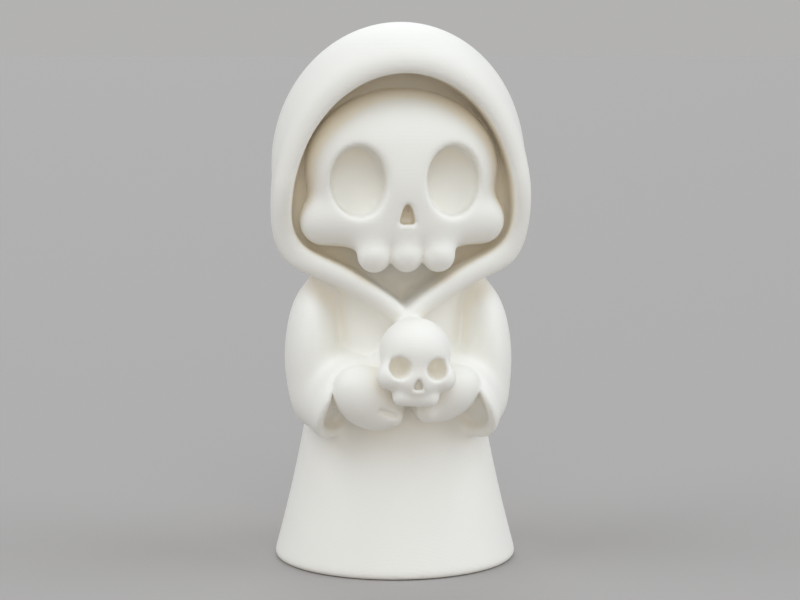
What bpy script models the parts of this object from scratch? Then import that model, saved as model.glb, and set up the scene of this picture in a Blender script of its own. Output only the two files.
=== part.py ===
import math

import bpy

# Sizes. The height is in metres; pose, proportions and carving are shares
# of it, in hundredths: x to the figure's left, -y to its front, z upward
# from the flat underside.
figure_height = 0.110

# How finely the form is sampled and how many triangles it keeps
sample_step = 0.6
triangle_target = 9400
distance_band = 3.0

# Box that the form is sampled in
sampled_half_width = 27.0
sampled_front = -34.0
sampled_back = 27.0
sampled_bottom = -3.0
sampled_top = 103.0

# Robe: a flared skirt that narrows into the chest
hem_radius = 22.9
robe_taper = 0.278
robe_flare = 0.0018
robe_depth_ratio = 0.98
robe_top = 53.0
shoulder_rounding = 9.0
hem_rounding = 2.2

# Hood: a rounded body, pushed forward of the robe's axis
hood_centre = (0.0, -4.5, 74.0)
hood_radii = (23.2, 20.0, 25.8)
hood_lean = 0.17
nape_blend = 7.0

# Face opening, seen from the front: an ellipse closed below by a curved V
opening_centre_z = 66.5
opening_half_width = 19.9
opening_half_height = 24.2
chin_v_bottom = 49.1
chin_v_slope = 0.85
chin_v_curve = 0.017
opening_corner_blend = 7.5
opening_edge_blend = 1.6
hollow_back = -7.8
hollow_back_blend = 4.0

# Rim of the hood: how far forward its face stands at places round the opening
rim_radius = 1.85
rim_thickness = 4.0
rim_top_y = -20.0
rim_side_y = -16.0
rim_corner_y = -12.5
rim_v_y = -19.0
rim_lower_z = 57.0
rim_upper_z = 72.0
rim_blend = 3.0
rim_face_blend = 3.0

# Skull face
cranium_centre = (0.0, -10.2, 73.6)
cranium_radii = (17.5, 10.2, 14.3)
cheek_start = (6.5, -15.0, 64.2)
cheek_end = (14.1, -11.6, 64.2)
cheek_radius = 4.5
cheek_blend = 5.0
muzzle_start = (0.0, -15.6, 62.6)
muzzle_end = (4.4, -14.8, 62.4)
muzzle_radius = 4.3
bridge_centre = (0.0, -12.5, 68.5)
bridge_radii = (9.0, 7.7, 8.0)
socket_centre = (8.4, 71.6)
socket_half_width = 4.9
socket_half_height = 6.3
socket_floor_y = -13.3
socket_floor_slope = 0.18
socket_blend = 1.8
socket_floor_blend = 1.4
nose_top_z = 67.8
nose_bottom_z = 64.0
nose_half_width = 1.5
nose_floor_y = -17.7
nose_floor_slope = 0.4
nose_blend = 0.7
face_blend = 1.3
tooth_spacing = 5.75
tooth_radius = 3.0
tooth_root_y = -15.6
tooth_y = -17.8
tooth_top_z = 63.0
tooth_bottom_z = 58.3
tooth_gap_blend = 0.4
tooth_root_blend = 2.4

# Sleeves, given for one side and mirrored to the other
arm_centre = (15.8, -5.2, 38.0)
arm_radii = (5.2, 9.6, 13.8)
arm_lower_reach = 0.87
arm_lean = 0.015
shoulder_start = (14.9, -5.2, 45.5)
shoulder_end = (12.6, -4.5, 54.0)
shoulder_radius = 3.2
bell_point = (12.8, -8.5, 32.9)
bell_radius = 6.6
bell_lean = 0.22
cuff_point = (10.3, -15.6, 31.8)
cuff_radius = 7.0
cuff_stretch = 1.12
cuff_reach = 0.9
sleeve_blend = 3.5
arm_crease_blend = 1.6
cuff_turn = 47.0
cuff_tilt = -30.0
cuff_edge_blend = 1.6
cuff_wall = 2.0
cuff_clearance = -0.3
cuff_depth = 2.8
cuff_hollow_top = 34.5
cuff_hollow_blend = 2.5
cuff_groove_blend = 3.0
cuff_lip_blend = 3.0

# Hands, each a mitten: centre, radii and turn in degrees
right_hand_centre = (-6.8, -18.6, 32.8)
right_hand_radii = (7.2, 5.0, 5.4)
right_hand_turn = (0.0, 34.0, 14.0)
left_hand_centre = (7.0, -18.0, 33.3)
left_hand_radii = (6.8, 5.0, 4.6)
left_hand_turn = (0.0, -30.0, -14.0)
wrist_start = (9.0, -17.0, 33.4)
wrist_end = (12.5, -10.5, 33.4)
wrist_radius = 3.4
right_finger_start = (-6.2, -19.8, 29.6)
right_finger_end = (-2.8, -20.8, 29.8)
right_finger_radius = 1.8
left_finger_start = (6.4, -19.4, 31.2)
left_finger_end = (3.5, -20.6, 30.6)
left_finger_radius = 2.1
finger_crease_start = (-5.2, 31.2)
finger_crease_end = (-2.3, 30.0)
finger_crease_back = -18.5
finger_crease_width = 0.3
finger_crease_depth = 0.8
hand_blend = 0.5
finger_blend = 1.6
finger_crease_blend = 0.7

# Solid mass that joins the hands and the held skull to the chest
backing_half_span = 3.2
backing_y = -15.2
backing_z = 37.2
backing_radius = 3.7
backing_blend = 2.0

# Small skull held in the hands, turned a little to its own left
held_centre = (1.1, -21.6, 41.5)
held_turn = (0.0, 3.5, 2.0)
held_cranium_radii = (6.35, 6.6, 6.1)
held_socket_centre = (3.25, -5.5, -2.3)
held_socket_radii = (1.9, 3.6, 1.9)
held_socket_blend = 0.6
held_cheek_half_span = 4.7
held_cheek_radius = 2.4
held_cheek_y = -3.4
held_cheek_z = -4.1
held_cheek_blend = 3.0
held_face_centre = (0.0, -3.2, -5.0)
held_face_radii = (3.6, 3.4, 2.9)
held_jaw_half_span = 2.5
held_jaw_radius = 1.65
held_jaw_y = -3.9
held_jaw_z = -7.6
held_jaw_blend = 1.3
held_nose_half_width = 1.0
held_nose_top_z = -4.0
held_nose_bottom_z = -5.9
held_nose_floor_y = -4.7
held_nose_blend = 0.4
held_blend = 1.7

# Matte off-white plastic
plastic_colour = (0.86, 0.85, 0.83, 1.0)
plastic_roughness = 0.55

share = figure_height / 100.0


# A field is a number or vector that varies over space, as a node socket
class Field:
    tree = None

    def __init__(self, socket):
        self.socket = socket

    def __add__(self, other):
        return maths("ADD", self, other)

    def __radd__(self, other):
        return maths("ADD", other, self)

    def __sub__(self, other):
        return maths("SUBTRACT", self, other)

    def __rsub__(self, other):
        return maths("SUBTRACT", other, self)

    def __mul__(self, other):
        return maths("MULTIPLY", self, other)

    def __rmul__(self, other):
        return maths("MULTIPLY", other, self)

    def __truediv__(self, other):
        return maths("DIVIDE", self, other)

    def __neg__(self):
        return maths("MULTIPLY", self, -1.0)


def connect(value, socket):
    if isinstance(value, Field):
        Field.tree.links.new(value.socket, socket)
    else:
        socket.default_value = value


def node(kind, *values, output=0, **settings):
    made = Field.tree.nodes.new(kind)
    for name, value in settings.items():
        setattr(made, name, value)
    sockets = [socket for socket in made.inputs if socket.enabled]
    for value, socket in zip(values, sockets):
        connect(value, socket)
    outputs = [socket for socket in made.outputs if socket.enabled]
    return Field(outputs[output])


def maths(operation, *values):
    return node("ShaderNodeMath", *values, operation=operation)


def vectors(operation, *values):
    return node("ShaderNodeVectorMath", *values, operation=operation)


def union(first, second, blend):
    return maths("SMOOTH_MIN", first, second, blend)


def common(first, second, blend):
    return maths("SMOOTH_MAX", first, second, blend)


def cut(body, cutter, blend):
    return maths("SMOOTH_MAX", body, -cutter, blend)


def ramp(value, low, high):
    return node(
        "ShaderNodeMapRange", value, low, high, 0.0, 1.0, interpolation_type="SMOOTHSTEP"
    )


def between(start, end, factor):
    return start + (end - start) * factor


def turned(point, centre, degrees):
    angles = tuple(math.radians(-angle) for angle in degrees)
    return node(
        "ShaderNodeVectorRotate",
        point,
        centre,
        angles,
        rotation_type="EULER_XYZ",
        invert=False,
    )


def ellipsoid(point, centre, radii):
    small = 0.001
    offset = vectors("SUBTRACT", point, centre)
    once = vectors("DIVIDE", offset, radii)
    twice = vectors("DIVIDE", once, radii)
    near = vectors("LENGTH", once) + small
    slope = vectors("LENGTH", twice) + small / min(radii)
    return near / slope * (near - 1.0)


def limb(point, start, end, start_radius, end_radius):
    axis = tuple(b - a for a, b in zip(start, end))
    length_squared = sum(part * part for part in axis)
    offset = vectors("SUBTRACT", point, start)
    along = vectors("DOT_PRODUCT", offset, axis) / length_squared
    along = node("ShaderNodeClamp", along, 0.0, 1.0)
    nearest = node("ShaderNodeVectorMath", axis, along, operation="SCALE")
    away = vectors("DISTANCE", offset, nearest)
    return away - (start_radius + (end_radius - start_radius) * along)


def oval(across, upward, half_width, half_height):
    flat = node("ShaderNodeCombineXYZ", across, 0.0, upward)
    return ellipsoid(flat, (0.0, 0.0, 0.0), (half_width, half_width, half_height))


def xyz(point):
    return (
        node("ShaderNodeSeparateXYZ", point, output=0),
        node("ShaderNodeSeparateXYZ", point, output=1),
        node("ShaderNodeSeparateXYZ", point, output=2),
    )


def mirrored(point):
    x, y, z = xyz(point)
    return node("ShaderNodeCombineXYZ", maths("ABSOLUTE", x), y, z)


def robe_form(point):
    x, y, z = xyz(point)
    across = maths("SQRT", x * x + (y / robe_depth_ratio) * (y / robe_depth_ratio))
    radius = hem_radius - z * robe_taper + z * z * robe_flare
    slope_share = 0.96
    side = (across - radius) * slope_share
    body = common(side, z - robe_top, shoulder_rounding)
    return common(body, -z, hem_rounding)


def opening_outline(across, z):
    oval_part = oval(across, z - opening_centre_z, opening_half_width, opening_half_height)
    v_edge = chin_v_bottom + across * chin_v_slope - across * across * chin_v_curve
    slope_share = 0.84
    below = (v_edge - z) * slope_share
    return common(oval_part, below, opening_corner_blend)


def rim_depth(across, z):
    outward = across / opening_half_width
    upper = between(rim_top_y, rim_side_y, outward * outward)
    bend = 1.4
    lower = between(rim_v_y, rim_corner_y, maths("POWER", outward, bend))
    return between(lower, upper, ramp(z, rim_lower_z, rim_upper_z))


def hood_form(point):
    x, y, z = xyz(point)
    across = maths("ABSOLUTE", x)
    lean = (z - hood_centre[2]) * hood_lean
    upright = node("ShaderNodeCombineXYZ", x, y + lean, z)
    shell = ellipsoid(upright, hood_centre, hood_radii)
    outline = opening_outline(across, z)
    face_y = rim_depth(across, z)
    shell = common(shell, face_y - y, rim_face_blend)
    ring = outline - rim_radius
    behind = y - (face_y + rim_radius)
    back = behind - node("ShaderNodeClamp", behind, 0.0, rim_thickness)
    tube = maths("SQRT", ring * ring + back * back) - rim_radius
    return union(shell, tube, rim_blend)


def hood_hollow(point):
    x, y, z = xyz(point)
    outline = opening_outline(maths("ABSOLUTE", x), z)
    return common(outline, y - hollow_back, hollow_back_blend)


def arch(x, y, z, half_width, top, bottom, floor):
    slope_share = 0.8
    corner = half_width * 0.4
    drop = maths("MAXIMUM", top - z, 0.0) / (top - bottom)
    side = (maths("ABSOLUTE", x) - half_width * maths("SQRT", drop)) * slope_share
    flat = maths("MAXIMUM", bottom - z, z - top)
    outline = common(side, flat, corner)
    return common(outline, y - floor, corner)


def skull_face(point):
    x, y, z = xyz(point)
    sides = mirrored(point)
    across = maths("ABSOLUTE", x)
    head = ellipsoid(point, cranium_centre, cranium_radii)
    cheeks = limb(sides, cheek_start, cheek_end, cheek_radius, cheek_radius)
    head = union(head, cheeks, cheek_blend)
    muzzle = limb(sides, muzzle_start, muzzle_end, muzzle_radius, muzzle_radius)
    head = union(head, muzzle, cheek_blend)
    head = union(head, ellipsoid(point, bridge_centre, bridge_radii), cheek_blend)
    teeth = None
    for place in (-1, 0, 1):
        top = (place * tooth_spacing, tooth_root_y, tooth_top_z)
        bottom = (place * tooth_spacing, tooth_y, tooth_bottom_z)
        tooth = limb(point, top, bottom, tooth_radius, tooth_radius)
        teeth = tooth if teeth is None else union(teeth, tooth, tooth_gap_blend)
    head = union(head, teeth, tooth_root_blend)
    socket = oval(
        across - socket_centre[0],
        z - socket_centre[1],
        socket_half_width,
        socket_half_height,
    )
    socket_floor = socket_floor_y + (z - socket_centre[1]) * socket_floor_slope
    socket = common(socket, y - socket_floor, socket_floor_blend)
    head = cut(head, socket, socket_blend)
    nose_floor = nose_floor_y + (z - nose_bottom_z) * nose_floor_slope
    nose = arch(x, y, z, nose_half_width, nose_top_z, nose_bottom_z, nose_floor)
    return cut(head, nose, nose_blend)


def cuff_plane(point):
    turn = math.radians(cuff_turn)
    tilt = math.radians(cuff_tilt)
    facing = (
        -math.sin(turn) * math.cos(tilt),
        -math.cos(turn) * math.cos(tilt),
        math.sin(tilt),
    )
    ahead = vectors("DOT_PRODUCT", vectors("SUBTRACT", point, cuff_point), facing)
    return ahead - cuff_reach


def sleeve_form(point, hand):
    squash = (1.0, 1.0, 1.0 / cuff_stretch)
    x, y, z = xyz(point)
    above = z - arm_centre[2]
    below = maths("MINIMUM", above, 0.0)
    stretched = above + below * (1.0 / arm_lower_reach - 1.0)
    upper_point = node("ShaderNodeCombineXYZ", x, y, stretched + arm_centre[2])
    upper = ellipsoid(upper_point, arm_centre, arm_radii)
    shoulder = limb(point, shoulder_start, shoulder_end, shoulder_radius, shoulder_radius)
    upper = union(upper, shoulder, sleeve_blend)
    outward = (z - cuff_point[2]) * bell_lean
    leaning = node("ShaderNodeCombineXYZ", x + outward, y, z)
    flat_point = vectors("MULTIPLY", leaning, squash)
    flat_bell = tuple(a * b for a, b in zip(bell_point, squash))
    flat_cuff = tuple(a * b for a, b in zip(cuff_point, squash))
    lower = limb(flat_point, flat_bell, flat_cuff, bell_radius, cuff_radius)
    sleeve = union(upper, lower, sleeve_blend)
    front = cuff_plane(point)
    sleeve = common(sleeve, front, cuff_edge_blend)
    hollow = common(lower + cuff_wall, -(front + cuff_depth), cuff_hollow_blend)
    hollow = common(hollow, z - cuff_hollow_top, cuff_hollow_blend)
    hollow = union(hollow, hand - cuff_clearance, cuff_groove_blend)
    return cut(sleeve, hollow, cuff_lip_blend)


def hand_form(point, centre, radii, degrees):
    return ellipsoid(turned(point, centre, degrees), centre, radii)


def finger_crease(point, hands):
    x, y, z = xyz(point)
    flat = node("ShaderNodeCombineXYZ", x, 0.0, z)
    start = (finger_crease_start[0], 0.0, finger_crease_start[1])
    end = (finger_crease_end[0], 0.0, finger_crease_end[1])
    line = limb(flat, start, end, finger_crease_width, finger_crease_width)
    front = maths("MAXIMUM", line, y - finger_crease_back)
    return maths("MAXIMUM", front, -(hands + finger_crease_depth))


def held_skull(point):
    middle = (0.0, 0.0, 0.0)
    local = turned(vectors("SUBTRACT", point, held_centre), middle, held_turn)
    x, y, z = xyz(local)
    sides = mirrored(local)
    head = ellipsoid(local, middle, held_cranium_radii)
    cheek_start = (0.0, held_cheek_y, held_cheek_z)
    cheek_end = (held_cheek_half_span, held_cheek_y, held_cheek_z)
    cheeks = limb(sides, cheek_start, cheek_end, held_cheek_radius, held_cheek_radius)
    head = union(head, cheeks, held_cheek_blend)
    face = ellipsoid(local, held_face_centre, held_face_radii)
    head = union(head, face, held_cheek_blend)
    jaw_start = (0.0, held_jaw_y, held_jaw_z)
    jaw_end = (held_jaw_half_span, held_jaw_y, held_jaw_z)
    jaw = limb(sides, jaw_start, jaw_end, held_jaw_radius, held_jaw_radius)
    head = union(head, jaw, held_jaw_blend)
    socket = ellipsoid(sides, held_socket_centre, held_socket_radii)
    head = cut(head, socket, held_socket_blend)
    nose = arch(
        x,
        y,
        z,
        held_nose_half_width,
        held_nose_top_z,
        held_nose_bottom_z,
        held_nose_floor_y,
    )
    return cut(head, nose, held_nose_blend)


def figure_form(point):
    body = robe_form(point)
    body = union(body, hood_form(point), nape_blend)
    body = cut(body, hood_hollow(point), opening_edge_blend)
    body = union(body, skull_face(point), face_blend)
    x, y, z = xyz(point)
    sides = mirrored(point)
    leaning = mirrored(node("ShaderNodeCombineXYZ", x, y, z + x * arm_lean))
    palms = union(
        hand_form(point, right_hand_centre, right_hand_radii, right_hand_turn),
        hand_form(point, left_hand_centre, left_hand_radii, left_hand_turn),
        hand_blend,
    )
    body = union(body, sleeve_form(leaning, palms), arm_crease_blend)
    backing_start = (0.0, backing_y, backing_z)
    backing_end = (backing_half_span, backing_y, backing_z)
    backing = limb(sides, backing_start, backing_end, backing_radius, backing_radius)
    body = union(body, backing, backing_blend)
    wrists = limb(sides, wrist_start, wrist_end, wrist_radius, wrist_radius)
    right_finger = limb(
        point,
        right_finger_start,
        right_finger_end,
        right_finger_radius,
        right_finger_radius,
    )
    left_finger = limb(
        point,
        left_finger_start,
        left_finger_end,
        left_finger_radius,
        left_finger_radius,
    )
    fingers = union(right_finger, left_finger, hand_blend)
    hands = union(union(palms, fingers, finger_blend), wrists, finger_blend)
    hands = cut(hands, finger_crease(point, hands), finger_crease_blend)
    body = union(body, hands, hand_blend)
    return union(body, held_skull(point), held_blend)


def carving_tree(material):
    tree = bpy.data.node_groups.new("figure_carving", "GeometryNodeTree")
    tree.interface.new_socket("Geometry", in_out="OUTPUT", socket_type="NodeSocketGeometry")
    step_socket = tree.interface.new_socket(
        "Sample step", in_out="INPUT", socket_type="NodeSocketFloat"
    )
    step_socket.default_value = sample_step * share
    Field.tree = tree
    point = vectors("DIVIDE", node("GeometryNodeInputPosition"), (share, share, share))
    density = node("ShaderNodeClamp", figure_form(point) / -distance_band, -1.0, 1.0)
    low = (-sampled_half_width, sampled_front, sampled_bottom)
    high = (sampled_half_width, sampled_back, sampled_top)
    counts = [round((b - a) / sample_step) + 1 for a, b in zip(low, high)]
    volume = node(
        "GeometryNodeVolumeCube",
        density,
        -1.0,
        tuple(side * share for side in low),
        tuple(side * share for side in high),
        *counts,
    )
    given = Field(tree.nodes.new("NodeGroupInput").outputs["Sample step"])
    mesh = node("GeometryNodeVolumeToMesh", volume, given, 0.0, 0.0, resolution_mode="VOXEL_SIZE")
    coloured = node("GeometryNodeSetMaterial", mesh, True, material)
    outgoing = tree.nodes.new("NodeGroupOutput")
    connect(coloured, outgoing.inputs[0])
    return tree


def white_plastic():
    material = bpy.data.materials.new("white_plastic")
    material.use_nodes = True
    shader = material.node_tree.nodes["Principled BSDF"]
    shader.inputs["Base Color"].default_value = plastic_colour
    shader.inputs["Roughness"].default_value = plastic_roughness
    shader.inputs["Metallic"].default_value = 0.0
    material.diffuse_color = plastic_colour
    return material


def main():
    for old in list(bpy.data.objects):
        bpy.data.objects.remove(old, do_unlink=True)
    material = white_plastic()
    source = bpy.data.objects.new("figure_source", bpy.data.meshes.new("figure_source"))
    bpy.context.scene.collection.objects.link(source)
    carving = source.modifiers.new("Carving", "NODES")
    carving.node_group = carving_tree(material)
    graph = bpy.context.evaluated_depsgraph_get()
    mesh = bpy.data.meshes.new_from_object(source.evaluated_get(graph), depsgraph=graph)
    bpy.data.objects.remove(source, do_unlink=True)
    mesh.name = "reaper_figurine"
    figurine = bpy.data.objects.new("reaper_figurine", mesh)
    bpy.context.scene.collection.objects.link(figurine)
    mesh.shade_smooth()
    mesh.calc_loop_triangles()
    print("sampled triangles", len(mesh.loop_triangles))
    thinning = figurine.modifiers.new("Thinning", "DECIMATE")
    thinning.ratio = triangle_target / len(mesh.loop_triangles)


main()
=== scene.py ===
import math

import bpy
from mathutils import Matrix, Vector


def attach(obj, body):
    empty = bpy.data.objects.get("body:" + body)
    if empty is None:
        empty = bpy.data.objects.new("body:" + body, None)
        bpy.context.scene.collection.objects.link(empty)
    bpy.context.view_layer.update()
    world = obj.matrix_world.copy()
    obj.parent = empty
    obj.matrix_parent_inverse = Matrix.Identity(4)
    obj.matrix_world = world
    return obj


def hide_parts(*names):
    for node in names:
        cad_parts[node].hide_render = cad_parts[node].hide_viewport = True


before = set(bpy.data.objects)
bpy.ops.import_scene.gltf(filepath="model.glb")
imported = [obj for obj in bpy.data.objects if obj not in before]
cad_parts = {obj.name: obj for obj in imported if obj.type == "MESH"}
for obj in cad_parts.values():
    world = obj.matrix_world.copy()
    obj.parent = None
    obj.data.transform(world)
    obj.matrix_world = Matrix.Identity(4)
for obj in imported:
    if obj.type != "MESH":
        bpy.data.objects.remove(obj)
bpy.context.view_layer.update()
print("frame loaded:", ", ".join(sorted(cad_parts)))

# Every length of the form below is a share of the height: x to the figure's left, -y to its front,
# z upward from the flat underside
figurine = {
    "height": 0.110,          # metres
    "sharesInHeight": 100.0,
    "sampleStep": 0.4,        # finer steps show sharper creases and take longer
    "triangles": 190000,
    "distanceBand": 3.0,      # how far from the surface the distance is kept
    "halfWidth": 27.0,        # the box that is sampled
    "front": -34.0,
    "back": 27.0,
    "bottom": -3.0,
    "top": 103.0,
}


# A socket that takes sums: an expression on values adds its Math nodes
class Value:
    tree = None  # the node tree that is being built

    def __init__(self, socket):
        self.socket = socket

    def __add__(self, other):
        return maths("ADD", self, other)

    def __radd__(self, other):
        return maths("ADD", other, self)

    def __sub__(self, other):
        return maths("SUBTRACT", self, other)

    def __rsub__(self, other):
        return maths("SUBTRACT", other, self)

    def __mul__(self, other):
        return maths("MULTIPLY", self, other)

    def __rmul__(self, other):
        return maths("MULTIPLY", other, self)

    def __truediv__(self, other):
        return maths("DIVIDE", self, other)

    def __rtruediv__(self, other):
        return maths("DIVIDE", other, self)

    def __neg__(self):
        return maths("MULTIPLY", self, -1.0)


def connect(value, socket):
    if isinstance(value, Value):
        Value.tree.links.new(value.socket, socket)
    else:
        socket.default_value = value


# Any other node: its type, the values or links of its sockets in their order, and its settings.
# It gives its first socket, or the one that is named
def node(kind, *values, output=None, **settings):
    made = Value.tree.nodes.new(kind)
    for name, setting in settings.items():
        setattr(made, name, setting)
    sockets = [socket for socket in made.inputs if socket.enabled]
    for value, socket in zip(values, sockets):
        connect(value, socket)
    if output:
        return Value(made.outputs[output])
    return Value([socket for socket in made.outputs if socket.enabled][0])


def maths(operation, *values):
    return node("ShaderNodeMath", *values, operation=operation)


def vectors(operation, *values):
    return node("ShaderNodeVectorMath", *values, operation=operation)


# A form is a distance: below zero inside, above zero outside. The last value is the blend's width
def union(first, second, blend):
    return maths("SMOOTH_MIN", first, second, blend)


def common(first, second, blend):
    return maths("SMOOTH_MAX", first, second, blend)


# What is left of the body
def cut(body, cutter, blend):
    return maths("SMOOTH_MAX", body, -cutter, blend)


# From 0 at the low value to 1 at the high one, with soft ends
def ramp(value, low, high):
    return node("ShaderNodeMapRange", value, low, high, 0.0, 1.0, interpolation_type="SMOOTHSTEP")


def between(start, end, factor):
    return start + (end - start) * factor


# The point as seen from a form that is turned by these degrees
def turned(point, centre, degrees):
    angles = tuple(math.radians(-angle) for angle in degrees)
    return node("ShaderNodeVectorRotate", point, centre, angles, rotation_type="EULER_XYZ")


def ellipsoid(point, centre, radii):
    small = 0.001  # keeps the middle from dividing by nothing
    offset = vectors("SUBTRACT", point, centre)
    once = vectors("DIVIDE", offset, radii)
    twice = vectors("DIVIDE", once, radii)
    near = vectors("LENGTH", once) + small
    slope = vectors("LENGTH", twice) + small / min(radii)
    return near / slope * (near - 1.0)


# A rounded rod, which tapers where it has a second radius
def limb(point, start, end, radius, endRadius=None):
    axis = tuple(b - a for a, b in zip(start, end))
    lengthSquared = sum(part * part for part in axis)
    offset = vectors("SUBTRACT", point, start)
    along = node("ShaderNodeClamp", vectors("DOT_PRODUCT", offset, axis) / lengthSquared, 0.0, 1.0)
    nearest = vectors("SCALE", axis, along)
    away = vectors("DISTANCE", offset, nearest)
    if endRadius is None:
        return away - radius
    return away - (radius + (endRadius - radius) * along)


# A flat ellipse seen from the front
def oval(across, upward, halfWidth, halfHeight):
    flat = node("ShaderNodeCombineXYZ", across, 0.0, upward)
    return ellipsoid(flat, (0.0, 0.0, 0.0), (halfWidth, halfWidth, halfHeight))


def xyz(point):
    split = node("ShaderNodeSeparateXYZ", point).socket.node
    return tuple(Value(socket) for socket in split.outputs)


# Both sides of the figure fold onto its left one
def mirrored(point):
    x, y, z = xyz(point)
    return node("ShaderNodeCombineXYZ", maths("ABSOLUTE", x), y, z)


# Robe: a flared skirt that narrows into the chest
robe = {
    "hemRadius": 22.9,
    "taper": 0.278,
    "flare": 0.0018,
    "depthRatio": 0.98,
    "top": 53.0,
    "shoulderRounding": 9.0,
    "hemRounding": 2.2,
    "slopeShare": 0.96,       # distance to the leaning side for each share outward
}


def robeForm(point):
    x, y, z = xyz(point)
    deep = y / robe["depthRatio"]
    across = maths("SQRT", x * x + deep * deep)
    radius = robe["hemRadius"] - z * robe["taper"] + z * z * robe["flare"]
    side = (across - radius) * robe["slopeShare"]
    body = common(side, z - robe["top"], robe["shoulderRounding"])
    return common(body, -z, robe["hemRounding"])


# Hood: a rounded body, pushed forward of the robe's axis
hood = {
    "centre": (0.0, -4.5, 74.0),
    "radii": (23.2, 20.0, 25.8),
    "lean": 0.17,
    "napeBlend": 7.0,
}

# Face opening, seen from the front: an ellipse closed below by a curved V
hoodOpening = {
    "centreZ": 66.5,
    "halfWidth": 19.9,
    "halfHeight": 24.2,
    "chinVBottom": 49.1,
    "chinVSlope": 0.85,
    "chinVCurve": 0.017,
    "chinVSlopeShare": 0.84,  # distance to the V's edge for each share downward
    "cornerBlend": 7.5,
    "edgeBlend": 1.6,
    "hollowBack": -7.8,       # how far back the hollow behind the face goes
    "hollowBackBlend": 4.0,
}


def openingOutline(across, z):
    upward = z - hoodOpening["centreZ"]
    ovalPart = oval(across, upward, hoodOpening["halfWidth"], hoodOpening["halfHeight"])
    curve = across * across * hoodOpening["chinVCurve"]
    vEdge = hoodOpening["chinVBottom"] + across * hoodOpening["chinVSlope"] - curve
    below = (vEdge - z) * hoodOpening["chinVSlopeShare"]
    return common(ovalPart, below, hoodOpening["cornerBlend"])


# Rim of the hood: how far forward its face stands at places round the opening
hoodRim = {
    "radius": 1.85,
    "thickness": 4.0,
    "topY": -20.0,
    "sideY": -16.0,
    "cornerY": -12.5,
    "vY": -19.0,
    "lowerBend": 1.4,         # how late the lower rim turns back towards the corners
    "lowerZ": 57.0,
    "upperZ": 72.0,
    "blend": 3.0,
    "faceBlend": 3.0,
}


def rimDepth(across, z):
    outward = across / hoodOpening["halfWidth"]
    upper = between(hoodRim["topY"], hoodRim["sideY"], outward * outward)
    cornerward = maths("POWER", outward, hoodRim["lowerBend"])
    lower = between(hoodRim["vY"], hoodRim["cornerY"], cornerward)
    return between(lower, upper, ramp(z, hoodRim["lowerZ"], hoodRim["upperZ"]))


def hoodForm(point):
    x, y, z = xyz(point)
    across = maths("ABSOLUTE", x)
    lean = (z - hood["centre"][2]) * hood["lean"]
    upright = node("ShaderNodeCombineXYZ", x, y + lean, z)
    shell = ellipsoid(upright, hood["centre"], hood["radii"])
    outline = openingOutline(across, z)
    faceY = rimDepth(across, z)
    shell = common(shell, faceY - y, hoodRim["faceBlend"])
    ring = outline - hoodRim["radius"]
    behind = y - (faceY + hoodRim["radius"])
    back = behind - node("ShaderNodeClamp", behind, 0.0, hoodRim["thickness"])
    tube = maths("SQRT", ring * ring + back * back) - hoodRim["radius"]
    return union(shell, tube, hoodRim["blend"])


def hoodHollow(point):
    x, y, z = xyz(point)
    outline = openingOutline(maths("ABSOLUTE", x), z)
    return common(outline, y - hoodOpening["hollowBack"], hoodOpening["hollowBackBlend"])


# Both noses: a pointed arch, hollowed back to its floor
nose = {
    "slopeShare": 0.8,        # distance to the curved side for each share outward
    "cornerShare": 0.4,       # rounding of its corners, as a share of its half width
}


def arch(x, y, z, halfWidth, top, bottom, floor):
    corner = halfWidth * nose["cornerShare"]
    drop = maths("MAXIMUM", top - z, 0.0) / (top - bottom)
    side = (maths("ABSOLUTE", x) - halfWidth * maths("SQRT", drop)) * nose["slopeShare"]
    flat = maths("MAXIMUM", bottom - z, z - top)
    outline = common(side, flat, corner)
    return common(outline, y - floor, corner)


# Skull face
skull = {
    "craniumCentre": (0.0, -10.2, 73.6),
    "craniumRadii": (17.5, 10.2, 14.3),
    "cheekStart": (6.5, -15.0, 64.2),
    "cheekEnd": (14.1, -11.6, 64.2),
    "cheekRadius": 4.5,
    "cheekBlend": 5.0,
    "muzzleStart": (0.0, -15.6, 62.6),
    "muzzleEnd": (4.4, -14.8, 62.4),
    "muzzleRadius": 4.3,
    "bridgeCentre": (0.0, -12.5, 68.5),
    "bridgeRadii": (9.0, 7.7, 8.0),
    "socketCentre": (8.4, 71.6),
    "socketHalfWidth": 4.9,
    "socketHalfHeight": 6.3,
    "socketFloorY": -13.3,
    "socketFloorSlope": 0.18,
    "socketBlend": 1.8,
    "socketFloorBlend": 1.4,
    "noseTopZ": 67.8,
    "noseBottomZ": 64.0,
    "noseHalfWidth": 1.5,
    "noseFloorY": -17.7,
    "noseFloorSlope": 0.4,
    "noseBlend": 0.7,
    "faceBlend": 1.3,
    "toothSpacing": 5.75,
    "toothRadius": 3.0,
    "toothRootY": -15.6,
    "toothY": -17.8,
    "toothTopZ": 63.0,
    "toothBottomZ": 58.3,
    "toothGapBlend": 0.4,
    "toothRootBlend": 2.4,
}


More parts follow.
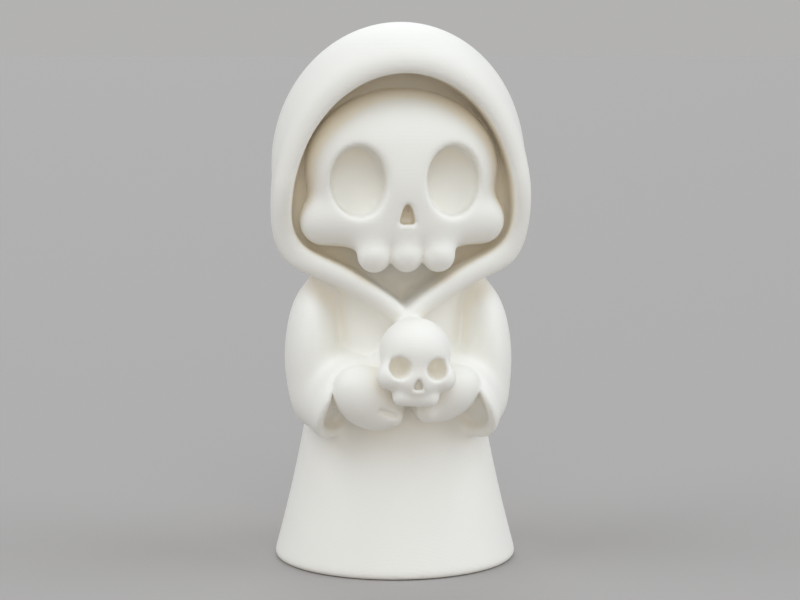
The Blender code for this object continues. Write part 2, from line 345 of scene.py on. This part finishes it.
def skullFace(point):
    x, y, z = xyz(point)
    sides = mirrored(point)
    across = maths("ABSOLUTE", x)
    head = ellipsoid(point, skull["craniumCentre"], skull["craniumRadii"])
    cheeks = limb(sides, skull["cheekStart"], skull["cheekEnd"], skull["cheekRadius"])
    head = union(head, cheeks, skull["cheekBlend"])
    muzzle = limb(sides, skull["muzzleStart"], skull["muzzleEnd"], skull["muzzleRadius"])
    head = union(head, muzzle, skull["cheekBlend"])
    bridge = ellipsoid(point, skull["bridgeCentre"], skull["bridgeRadii"])
    head = union(head, bridge, skull["cheekBlend"])
    teeth = None
    for place in (-1, 0, 1):
        sideways = place * skull["toothSpacing"]
        top = (sideways, skull["toothRootY"], skull["toothTopZ"])
        bottom = (sideways, skull["toothY"], skull["toothBottomZ"])
        tooth = limb(point, top, bottom, skull["toothRadius"])
        teeth = tooth if teeth is None else union(teeth, tooth, skull["toothGapBlend"])
    head = union(head, teeth, skull["toothRootBlend"])
    sideways = across - skull["socketCentre"][0]
    upward = z - skull["socketCentre"][1]
    socket = oval(sideways, upward, skull["socketHalfWidth"], skull["socketHalfHeight"])
    socketFloor = skull["socketFloorY"] + upward * skull["socketFloorSlope"]
    socket = common(socket, y - socketFloor, skull["socketFloorBlend"])
    head = cut(head, socket, skull["socketBlend"])
    noseFloor = skull["noseFloorY"] + (z - skull["noseBottomZ"]) * skull["noseFloorSlope"]
    noseHole = arch(x, y, z, skull["noseHalfWidth"], skull["noseTopZ"], skull["noseBottomZ"], noseFloor)
    return cut(head, noseHole, skull["noseBlend"])


# Sleeves, given for one side and mirrored to the other
sleeves = {
    "armCentre": (15.8, -5.2, 38.0),
    "armRadii": (5.2, 9.6, 13.8),
    "armLowerReach": 0.87,
    "armLean": 0.015,
    "shoulderStart": (14.9, -5.2, 45.5),
    "shoulderEnd": (12.6, -4.5, 54.0),
    "shoulderRadius": 3.2,
    "bellPoint": (12.8, -8.5, 32.9),
    "bellRadius": 6.6,
    "bellLean": 0.22,
    "cuffPoint": (10.3, -15.6, 31.8),
    "cuffRadius": 7.0,
    "cuffStretch": 1.12,
    "cuffReach": 0.9,
    "sleeveBlend": 3.5,
    "armCreaseBlend": 1.6,
    "cuffTurn": 47.0,         # degrees, as the next: the way the cuff faces
    "cuffTilt": -30.0,
    "cuffEdgeBlend": 1.6,
    "cuffWall": 2.0,
    "cuffClearance": -0.3,    # below zero: the cuff grips the hand
    "cuffDepth": 2.8,
    "cuffHollowTop": 34.5,
    "cuffHollowBlend": 2.5,
    "cuffGrooveBlend": 3.0,
    "cuffLipBlend": 3.0,
}


def cuffPlane(point):
    turn = math.radians(sleeves["cuffTurn"])
    tilt = math.radians(sleeves["cuffTilt"])
    facing = (
        -math.sin(turn) * math.cos(tilt),
        -math.cos(turn) * math.cos(tilt),
        math.sin(tilt),
    )
    ahead = vectors("DOT_PRODUCT", vectors("SUBTRACT", point, sleeves["cuffPoint"]), facing)
    return ahead - sleeves["cuffReach"]


def sleeveForm(point, hand):
    squash = (1.0, 1.0, 1.0 / sleeves["cuffStretch"])
    x, y, z = xyz(point)
    above = z - sleeves["armCentre"][2]
    below = maths("MINIMUM", above, 0.0)
    stretched = above + below * (1.0 / sleeves["armLowerReach"] - 1.0)
    upperPoint = node("ShaderNodeCombineXYZ", x, y, stretched + sleeves["armCentre"][2])
    upper = ellipsoid(upperPoint, sleeves["armCentre"], sleeves["armRadii"])
    shoulder = limb(point, sleeves["shoulderStart"], sleeves["shoulderEnd"], sleeves["shoulderRadius"])
    upper = union(upper, shoulder, sleeves["sleeveBlend"])
    outward = (z - sleeves["cuffPoint"][2]) * sleeves["bellLean"]
    leaning = node("ShaderNodeCombineXYZ", x + outward, y, z)
    flatPoint = vectors("MULTIPLY", leaning, squash)
    flatBell = tuple(a * b for a, b in zip(sleeves["bellPoint"], squash))
    flatCuff = tuple(a * b for a, b in zip(sleeves["cuffPoint"], squash))
    lower = limb(flatPoint, flatBell, flatCuff, sleeves["bellRadius"], sleeves["cuffRadius"])
    cloth = union(upper, lower, sleeves["sleeveBlend"])
    front = cuffPlane(point)
    cloth = common(cloth, front, sleeves["cuffEdgeBlend"])
    behindCuff = -(front + sleeves["cuffDepth"])
    hollow = common(lower + sleeves["cuffWall"], behindCuff, sleeves["cuffHollowBlend"])
    hollow = common(hollow, z - sleeves["cuffHollowTop"], sleeves["cuffHollowBlend"])
    hollow = union(hollow, hand - sleeves["cuffClearance"], sleeves["cuffGrooveBlend"])
    return cut(cloth, hollow, sleeves["cuffLipBlend"])


# Hands, each a mitten: centre, radii and turn in degrees
hands = {
    "rightHandCentre": (-6.8, -18.6, 32.8),
    "rightHandRadii": (7.2, 5.0, 5.4),
    "rightHandTurn": (0.0, 34.0, 14.0),
    "leftHandCentre": (7.0, -18.0, 33.3),
    "leftHandRadii": (6.8, 5.0, 4.6),
    "leftHandTurn": (0.0, -30.0, -14.0),
    "wristStart": (9.0, -17.0, 33.4),
    "wristEnd": (12.5, -10.5, 33.4),
    "wristRadius": 3.4,
    "rightFingerStart": (-6.2, -19.8, 29.6),
    "rightFingerEnd": (-2.8, -20.8, 29.8),
    "rightFingerRadius": 1.8,
    "leftFingerStart": (6.4, -19.4, 31.2),
    "leftFingerEnd": (3.5, -20.6, 30.6),
    "leftFingerRadius": 2.1,
    "fingerCreaseStart": (-5.2, 31.2),
    "fingerCreaseEnd": (-2.3, 30.0),
    "fingerCreaseBack": -18.5,
    "fingerCreaseWidth": 0.3,
    "fingerCreaseDepth": 0.8,
    "handBlend": 0.5,
    "fingerBlend": 1.6,
    "fingerCreaseBlend": 0.7,
}


def handForm(point, centre, radii, degrees):
    return ellipsoid(turned(point, centre, degrees), centre, radii)


# The groove between the right hand's fingers, cut only into its front
def fingerCrease(point, bothHands):
    x, y, z = xyz(point)
    flat = node("ShaderNodeCombineXYZ", x, 0.0, z)
    start = (hands["fingerCreaseStart"][0], 0.0, hands["fingerCreaseStart"][1])
    end = (hands["fingerCreaseEnd"][0], 0.0, hands["fingerCreaseEnd"][1])
    line = limb(flat, start, end, hands["fingerCreaseWidth"])
    front = maths("MAXIMUM", line, y - hands["fingerCreaseBack"])
    return maths("MAXIMUM", front, -(bothHands + hands["fingerCreaseDepth"]))


# Solid mass that joins the hands and the held skull to the chest
chestBacking = {
    "halfSpan": 3.2,
    "y": -15.2,
    "z": 37.2,
    "radius": 3.7,
    "blend": 2.0,
}

# Small skull held in the hands, turned a little to its own left
littleSkull = {
    "centre": (1.1, -21.6, 41.5),
    "turn": (0.0, 3.5, 2.0),
    "craniumRadii": (6.35, 6.6, 6.1),
    "socketCentre": (3.25, -5.5, -2.3),
    "socketRadii": (1.9, 3.6, 1.9),
    "socketBlend": 0.6,
    "cheekHalfSpan": 4.7,
    "cheekRadius": 2.4,
    "cheekY": -3.4,
    "cheekZ": -4.1,
    "cheekBlend": 3.0,
    "faceCentre": (0.0, -3.2, -5.0),
    "faceRadii": (3.6, 3.4, 2.9),
    "jawHalfSpan": 2.5,
    "jawRadius": 1.65,
    "jawY": -3.9,
    "jawZ": -7.6,
    "jawBlend": 1.3,
    "noseHalfWidth": 1.0,
    "noseTopZ": -4.0,
    "noseBottomZ": -5.9,
    "noseFloorY": -4.7,
    "noseBlend": 0.4,
    "blend": 1.7,             # where it rests in the hands
}


def heldSkull(point):
    middle = (0.0, 0.0, 0.0)
    local = turned(vectors("SUBTRACT", point, littleSkull["centre"]), middle, littleSkull["turn"])
    x, y, z = xyz(local)
    sides = mirrored(local)
    head = ellipsoid(local, middle, littleSkull["craniumRadii"])
    cheekMiddle = (0.0, littleSkull["cheekY"], littleSkull["cheekZ"])
    cheekSide = (littleSkull["cheekHalfSpan"], littleSkull["cheekY"], littleSkull["cheekZ"])
    cheeks = limb(sides, cheekMiddle, cheekSide, littleSkull["cheekRadius"])
    head = union(head, cheeks, littleSkull["cheekBlend"])
    muzzle = ellipsoid(local, littleSkull["faceCentre"], littleSkull["faceRadii"])
    head = union(head, muzzle, littleSkull["cheekBlend"])
    jawStart = (0.0, littleSkull["jawY"], littleSkull["jawZ"])
    jawEnd = (littleSkull["jawHalfSpan"], littleSkull["jawY"], littleSkull["jawZ"])
    jaw = limb(sides, jawStart, jawEnd, littleSkull["jawRadius"])
    head = union(head, jaw, littleSkull["jawBlend"])
    socket = ellipsoid(sides, littleSkull["socketCentre"], littleSkull["socketRadii"])
    head = cut(head, socket, littleSkull["socketBlend"])
    noseHole = arch(
        x, y, z, littleSkull["noseHalfWidth"],
        littleSkull["noseTopZ"], littleSkull["noseBottomZ"], littleSkull["noseFloorY"],
    )
    return cut(head, noseHole, littleSkull["noseBlend"])


# The whole figure: each piece is blended into what is there
def figureForm(point):
    body = robeForm(point)
    body = union(body, hoodForm(point), hood["napeBlend"])
    body = cut(body, hoodHollow(point), hoodOpening["edgeBlend"])
    body = union(body, skullFace(point), skull["faceBlend"])
    x, y, z = xyz(point)
    sides = mirrored(point)
    leaning = mirrored(node("ShaderNodeCombineXYZ", x, y, z + x * sleeves["armLean"]))
    palms = union(
        handForm(point, hands["rightHandCentre"], hands["rightHandRadii"], hands["rightHandTurn"]),
        handForm(point, hands["leftHandCentre"], hands["leftHandRadii"], hands["leftHandTurn"]),
        hands["handBlend"],
    )
    body = union(body, sleeveForm(leaning, palms), sleeves["armCreaseBlend"])
    backingStart = (0.0, chestBacking["y"], chestBacking["z"])
    backingEnd = (chestBacking["halfSpan"], chestBacking["y"], chestBacking["z"])
    filling = limb(sides, backingStart, backingEnd, chestBacking["radius"])
    body = union(body, filling, chestBacking["blend"])
    wrists = limb(sides, hands["wristStart"], hands["wristEnd"], hands["wristRadius"])
    fingers = union(
        limb(point, hands["rightFingerStart"], hands["rightFingerEnd"], hands["rightFingerRadius"]),
        limb(point, hands["leftFingerStart"], hands["leftFingerEnd"], hands["leftFingerRadius"]),
        hands["handBlend"],
    )
    bothHands = union(union(palms, fingers, hands["fingerBlend"]), wrists, hands["fingerBlend"])
    bothHands = cut(bothHands, fingerCrease(point, bothHands), hands["fingerCreaseBlend"])
    body = union(body, bothHands, hands["handBlend"])
    return union(body, heldSkull(point), littleSkull["blend"])


# The reach of the measure that sets where shade is painted into the plastic's recesses
shadeCavity = {
    "reach": 4.5,             # shares outward from the surface at which the form is felt for
}


# How shut in a place is, from 0 in the open to 1: a step outward leads less far from the form there.
# Shade is painted into the plastic's colour where it is high
def shadeCavityDepth(point, normal):
    outward = vectors("ADD", point, vectors("SCALE", normal, shadeCavity["reach"]))
    return node("ShaderNodeClamp", 1.0 - figureForm(outward) / shadeCavity["reach"], 0.0, 1.0)


# Sizes that the tree takes as inputs: the name of each input, its dictionary and its key there
treeSizes = {
    "Height": (figurine, "height"),
    "Sample step": (figurine, "sampleStep"),
    "Hem radius": (robe, "hemRadius"),
    "Robe top": (robe, "top"),
    "Hollow back": (hoodOpening, "hollowBack"),
    "Rim radius": (hoodRim, "radius"),
    "Rim thickness": (hoodRim, "thickness"),
    "Cheek radius": (skull, "cheekRadius"),
    "Muzzle radius": (skull, "muzzleRadius"),
    "Nose half width": (skull, "noseHalfWidth"),
    "Tooth radius": (skull, "toothRadius"),
    "Cuff radius": (sleeves, "cuffRadius"),
    "Cuff wall": (sleeves, "cuffWall"),
    "Cuff depth": (sleeves, "cuffDepth"),
    "Wrist radius": (hands, "wristRadius"),
    "Held cheek radius": (littleSkull, "cheekRadius"),
    "Held jaw radius": (littleSkull, "jawRadius"),
}


# The tree that carves the whole figure out of the sampled box
def carvingTree(material):
    tree = bpy.data.node_groups.new("figureCarving", "GeometryNodeTree")
    tree.interface.new_socket("Geometry", in_out="OUTPUT", socket_type="NodeSocketGeometry")
    for name in treeSizes:
        tree.interface.new_socket(name, in_out="INPUT", socket_type="NodeSocketFloat")
    Value.tree = tree
    given = tree.nodes.new("NodeGroupInput")
    numbers = {name: sizes[key] for name, (sizes, key) in treeSizes.items()}
    for name, (sizes, key) in treeSizes.items():
        sizes[key] = Value(given.outputs[name])  # until the tree is built, the size is its input
    share = figurine["height"] / figurine["sharesInHeight"]
    step = figurine["sampleStep"] * share
    point = vectors("SCALE", node("GeometryNodeInputPosition"), 1.0 / share)
    density = node("ShaderNodeClamp", figureForm(point) / -figurine["distanceBand"], -1.0, 1.0)
    low = (-figurine["halfWidth"], figurine["front"], figurine["bottom"])
    high = (figurine["halfWidth"], figurine["back"], figurine["top"])
    counts = [round((b - a) / numbers["Sample step"]) + 1 for a, b in zip(low, high)]
    lowCorner = vectors("SCALE", low, share)
    highCorner = vectors("SCALE", high, share)
    volume = node("GeometryNodeVolumeCube", density, -1.0, lowCorner, highCorner, *counts)
    mesh = node("GeometryNodeVolumeToMesh", volume, step, 0.0, 0.0, resolution_mode="VOXEL_SIZE")
    # How shut in each point is, stored for the shade painted into the plastic's colour
    depth = shadeCavityDepth(point, node("GeometryNodeInputNormal"))
    marked = node(
        "GeometryNodeStoreNamedAttribute", mesh, True, "shadeCavity", depth,
        data_type="FLOAT", domain="POINT",
    )
    real = node("GeometryNodeRealizeInstances", marked)
    finished = node("GeometryNodeSetMaterial", real, True, material)
    outgoing = tree.nodes.new("NodeGroupOutput")
    connect(finished, outgoing.inputs[0])
    for name, (sizes, key) in treeSizes.items():
        sizes[key] = numbers[name]
    return tree


# Modifier inputs go by the socket's identifier
def setInput(modifier, name, value):
    for item in modifier.node_group.interface.items_tree:
        if item.item_type == "SOCKET" and item.in_out == "INPUT" and item.name == name:
            modifier[item.identifier] = value


# The evaluated object as a plain mesh, with its modifiers applied
def plainMesh(source, name):
    graph = bpy.context.evaluated_depsgraph_get()
    mesh = bpy.data.meshes.new_from_object(source.evaluated_get(graph), depsgraph=graph)
    mesh.name = name
    mesh.calc_loop_triangles()
    return mesh


# The carved figure as one plain mesh, thinned to its number of triangles
def makeFigurine(material):
    source = bpy.data.objects.new("carvingSource", bpy.data.meshes.new("carvingSource"))
    bpy.context.scene.collection.objects.link(source)
    carving = source.modifiers.new("Carving", "NODES")
    carving.node_group = carvingTree(material)
    for name, (sizes, key) in treeSizes.items():
        setInput(carving, name, sizes[key])
    sampled = plainMesh(source, "sampledFigure")
    print("sampled triangles:", len(sampled.loop_triangles))
    source.modifiers.remove(carving)
    source.data = sampled
    thinning = source.modifiers.new("Thinning", "DECIMATE")
    thinning.ratio = min(1.0, figurine["triangles"] / len(sampled.loop_triangles))
    mesh = plainMesh(source, "carvedFigurine")
    mesh.shade_smooth()
    bpy.data.objects.remove(source)
    figure = bpy.data.objects.new("carvedFigurine", mesh)
    bpy.context.scene.collection.objects.link(figure)
    print("figurine triangles:", len(mesh.loop_triangles))
    return figure


# Matte white printed plastic: warm white, fine layer lines across the height and a faint grain, with
# shade painted into its recesses as a warm, darker tint
plastic = {
    "colour": (0.945, 0.925, 0.87, 1.0),
    "shadeColour": (0.925, 0.905, 0.845, 1.0),
    # painted shade: the warm, darker tint that recesses get in place of their shading and bounced light
    "paintedShadeColour": (0.96, 0.895, 0.77, 1.0),
    "paintedShadeStart": 0.62,
    "paintedShadeEnd": 1.0,
    "paintedShadeLowShare": 0.35,         # how much of the painted recess shade shows below the hood
    "paintedShadeLowTop": 0.055,          # metres up, where that share ends
    "paintedShadeHoodBottom": 0.063,      # and where the full painted shade starts
    "roughness": 0.52,
    "roughnessSpread": 0.10,
    "mottleDetail": 3.0,
    "mottleSharpness": 0.5,
    "mottleSize": 0.006,      # metres, as the lengths below
    "grainDetail": 2.0,
    "grainSharpness": 0.6,
    "grainSize": 0.00035,
    "layerHeight": 0.00025,
    "layerWobble": 0.00008,
    "layerDepth": 0.000004,
    "grainDepth": 0.000012,
}


def colourMix(factor, first, second):
    return node("ShaderNodeMix", factor, first, second, data_type="RGBA")


# Noise about its middle, from about -0.5 to 0.5
def unevenness(place, name):
    scale = 1.0 / plastic[name + "Size"]
    detail = plastic[name + "Detail"]
    return node("ShaderNodeTexNoise", place, scale, detail, plastic[name + "Sharpness"]) - 0.5


def whitePlastic():
    material = bpy.data.materials.new("whitePlastic")
    material.use_nodes = True
    Value.tree = material.node_tree
    shader = material.node_tree.nodes["Principled BSDF"]
    place = node("ShaderNodeTexCoord", output="Object")
    x, y, z = xyz(place)
    mottle = unevenness(place, "mottle")
    grain = unevenness(place, "grain")
    wobble = mottle * plastic["layerWobble"]
    layers = maths("SINE", (z + wobble) * (2.0 * math.pi / plastic["layerHeight"]))
    height = layers * plastic["layerDepth"] + grain * plastic["grainDepth"]
    bump = node("ShaderNodeBump", 1.0, 1.0)
    connect(height, bump.socket.node.inputs["Height"])
    connect(bump, shader.inputs["Normal"])
    tone = colourMix(mottle + 0.5, plastic["shadeColour"], plastic["colour"])
    # Painted shade: where the surface is shut in, the colour turns warm and darker, less so below the
    # hood
    shutIn = node("ShaderNodeAttribute", output="Fac", attribute_name="shadeCavity")
    paintedShadeShare = between(plastic["paintedShadeLowShare"], 1.0, ramp(z, plastic["paintedShadeLowTop"], plastic["paintedShadeHoodBottom"]))
    paintedShade = ramp(shutIn, plastic["paintedShadeStart"], plastic["paintedShadeEnd"]) * paintedShadeShare
    connect(colourMix(paintedShade, tone, plastic["paintedShadeColour"]), shader.inputs["Base Color"])
    roughness = plastic["roughness"] + (mottle + grain) * plastic["roughnessSpread"]
    connect(roughness, shader.inputs["Roughness"])
    return material


# Pale studio: a floor that runs to the horizon, a pale sky of the same tone, and broad soft lights
studio = {
    "floorSize": 60.0,        # metres
    "floorRoughness": 0.8,
    "floorColour": (0.397, 0.375, 0.357, 1.0),
    "skyColour": (1.0, 0.99, 0.98, 1.0),
    "skyStrength": 0.45,
    "softness": 41.0,         # degrees across that each light takes up
    # degrees round from the front, degrees up, strength and colour of each light
    "lights": {
        "leftHigh": (-75.0, 50.0, 0.80, (0.87, 0.92, 1.0)),
        "rightHigh": (75.0, 50.0, 0.58, (0.82, 0.88, 1.0)),
        "frontHigh": (0.0, 50.0, 0.60, (0.75, 0.9, 1.0)),
        "rightLow": (75.0, 15.0, 0.55, (0.87, 0.94, 1.0)),
        "leftLow": (-75.0, 15.0, 0.15, (0.9, 0.95, 1.0)),
        "frontLow": (0.0, 8.0, 0.38, (1.0, 0.86, 0.68)),
        "back": (180.0, 40.0, 0.5, (0.9, 0.95, 1.0)),
    },
}


def addFloor():
    side = studio["floorSize"] / 2.0
    mesh = bpy.data.meshes.new("floor")
    corners = [(-side, -side, 0.0), (side, -side, 0.0), (side, side, 0.0), (-side, side, 0.0)]
    mesh.from_pydata(corners, [], [(0, 1, 2, 3)])
    floor = bpy.data.objects.new("floor", mesh)
    bpy.context.scene.collection.objects.link(floor)
    material = bpy.data.materials.new("paleFloor")
    material.use_nodes = True
    shader = material.node_tree.nodes["Principled BSDF"]
    shader.inputs["Base Color"].default_value = studio["floorColour"]
    shader.inputs["Roughness"].default_value = studio["floorRoughness"]
    mesh.materials.append(material)


def addLight(name):
    degreesRound, degreesUp, strength, colour = studio["lights"][name]
    around = math.radians(degreesRound)
    up = math.radians(degreesUp)
    away = Vector((math.sin(around) * math.cos(up), -math.cos(around) * math.cos(up), math.sin(up)))
    lamp = bpy.data.lights.new(name, "SUN")
    lamp.angle = math.radians(studio["softness"])
    lamp.energy = strength
    lamp.color = colour
    light = bpy.data.objects.new(name, lamp)
    light.location = away
    light.rotation_euler = (-away).to_track_quat("-Z", "Y").to_euler()
    bpy.context.scene.collection.objects.link(light)


def addSky():
    world = bpy.data.worlds.new("paleSky")
    world.use_nodes = True
    background = world.node_tree.nodes["Background"]
    background.inputs["Color"].default_value = studio["skyColour"]
    background.inputs["Strength"].default_value = studio["skyStrength"]
    bpy.context.scene.world = world


# The photograph's view: from slightly to the figure's right and from above the head
view = {
    "distance": 400.0,        # shares, as the next heights
    "height": 95.0,
    "aimHeight": 48.25,
    "turn": -6.5,             # degrees round the figure
    "lens": 96.84,
    "sensor": 36.0,
    "shift": 0.00625,
    "clipStart": 0.01,        # metres
}


def addCamera():
    share = figurine["height"] / figurine["sharesInHeight"]
    turn = math.radians(view["turn"])
    forward = -math.cos(turn) * view["distance"]
    place = Vector((math.sin(turn) * view["distance"], forward, view["height"])) * share
    aim = Vector((0.0, 0.0, view["aimHeight"] * share)) - place
    lens = bpy.data.cameras.new("photoView")
    lens.lens = view["lens"]
    lens.sensor_width = view["sensor"]
    lens.shift_x = view["shift"]
    lens.clip_start = view["clipStart"]
    camera = bpy.data.objects.new("photoView", lens)
    camera.location = place
    camera.rotation_euler = aim.to_track_quat("-Z", "Y").to_euler()
    bpy.context.scene.collection.objects.link(camera)
    bpy.context.scene.camera = camera


plasticMaterial = whitePlastic()
print("plastic ready")
figure = makeFigurine(plasticMaterial)
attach(figure, "root")
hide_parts("reaper_figurine")
print("figurine in place")

addFloor()
addSky()
for lightName in studio["lights"]:
    addLight(lightName)
addCamera()
bpy.context.scene.view_settings.view_transform = "Standard"
print("studio ready")
